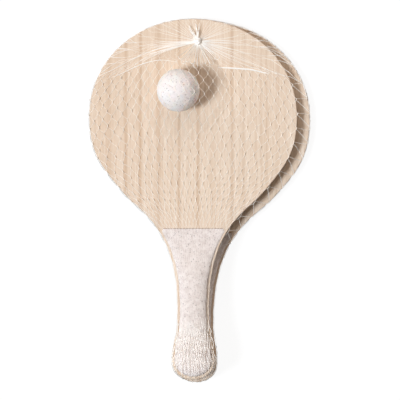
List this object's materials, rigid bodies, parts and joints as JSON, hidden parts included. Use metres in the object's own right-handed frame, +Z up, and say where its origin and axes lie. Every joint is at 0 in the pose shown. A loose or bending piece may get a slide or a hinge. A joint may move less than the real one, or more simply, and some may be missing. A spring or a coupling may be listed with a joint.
{
  "type": "beach paddle set",
  "caption": "Wooden beach paddles with speckled foam grips, stacked with a ball on the blade and packed in a white net bag tied with a knot near the blade tips.",
  "frame": {"origin": "centre of the packed set's bounding box, on the surface it lies on", "axes": "+Y from the handles to the blade tips along the upper paddle, +X to the right seen from above, +Z up"},
  "size_m": [0.2382, 0.3882, 0.0695],
  "materials": {
    "face_wood": "bare pale plywood veneer, satin",
    "cross_wood": "bare plywood edge grain",
    "grip_foam": "matte speckled foam",
    "ball_foam": "matte speckled foam",
    "net_plastic": "white extruded net",
    "knot_plastic": "white net, pulled tight"
  },
  "bodies": {
    "lower_paddle": {"lower_paddle_bottom_veneer": "face_wood", "lower_paddle_bottom_cross_ply": "cross_wood", "lower_paddle_core_ply": "face_wood", "lower_paddle_top_cross_ply": "cross_wood", "lower_paddle_top_veneer": "face_wood", "lower_paddle_top_grip_pad": "grip_foam", "lower_paddle_bottom_grip_pad": "grip_foam", "net_lower_half": "net_plastic"},
    "upper_paddle": {"upper_paddle_bottom_veneer": "face_wood", "upper_paddle_bottom_cross_ply": "cross_wood", "upper_paddle_core_ply": "face_wood", "upper_paddle_top_cross_ply": "cross_wood", "upper_paddle_top_veneer": "face_wood", "upper_paddle_top_grip_pad": "grip_foam", "upper_paddle_bottom_grip_pad": "grip_foam", "net_upper_half": "net_plastic", "net_knot": "knot_plastic"},
    "ball": {"ball": "ball_foam"}
  },
  "joints": [
    {"name": "paddle_fan", "type": "hinge", "parent": "lower_paddle", "child": "upper_paddle", "pos_m": [-0.00715, -0.16902, 0.02768], "axis": [0.0023, 0.0535, 0.9986], "range_deg": [-4.9, 0]},
    {"name": "ball_roll", "type": "hinge", "parent": "upper_paddle", "child": "ball", "pos_m": [-0.0229, 0.11509, 0.04461], "axis": [1, -0.0001, -0.0023], "continuous": true}
  ]
}
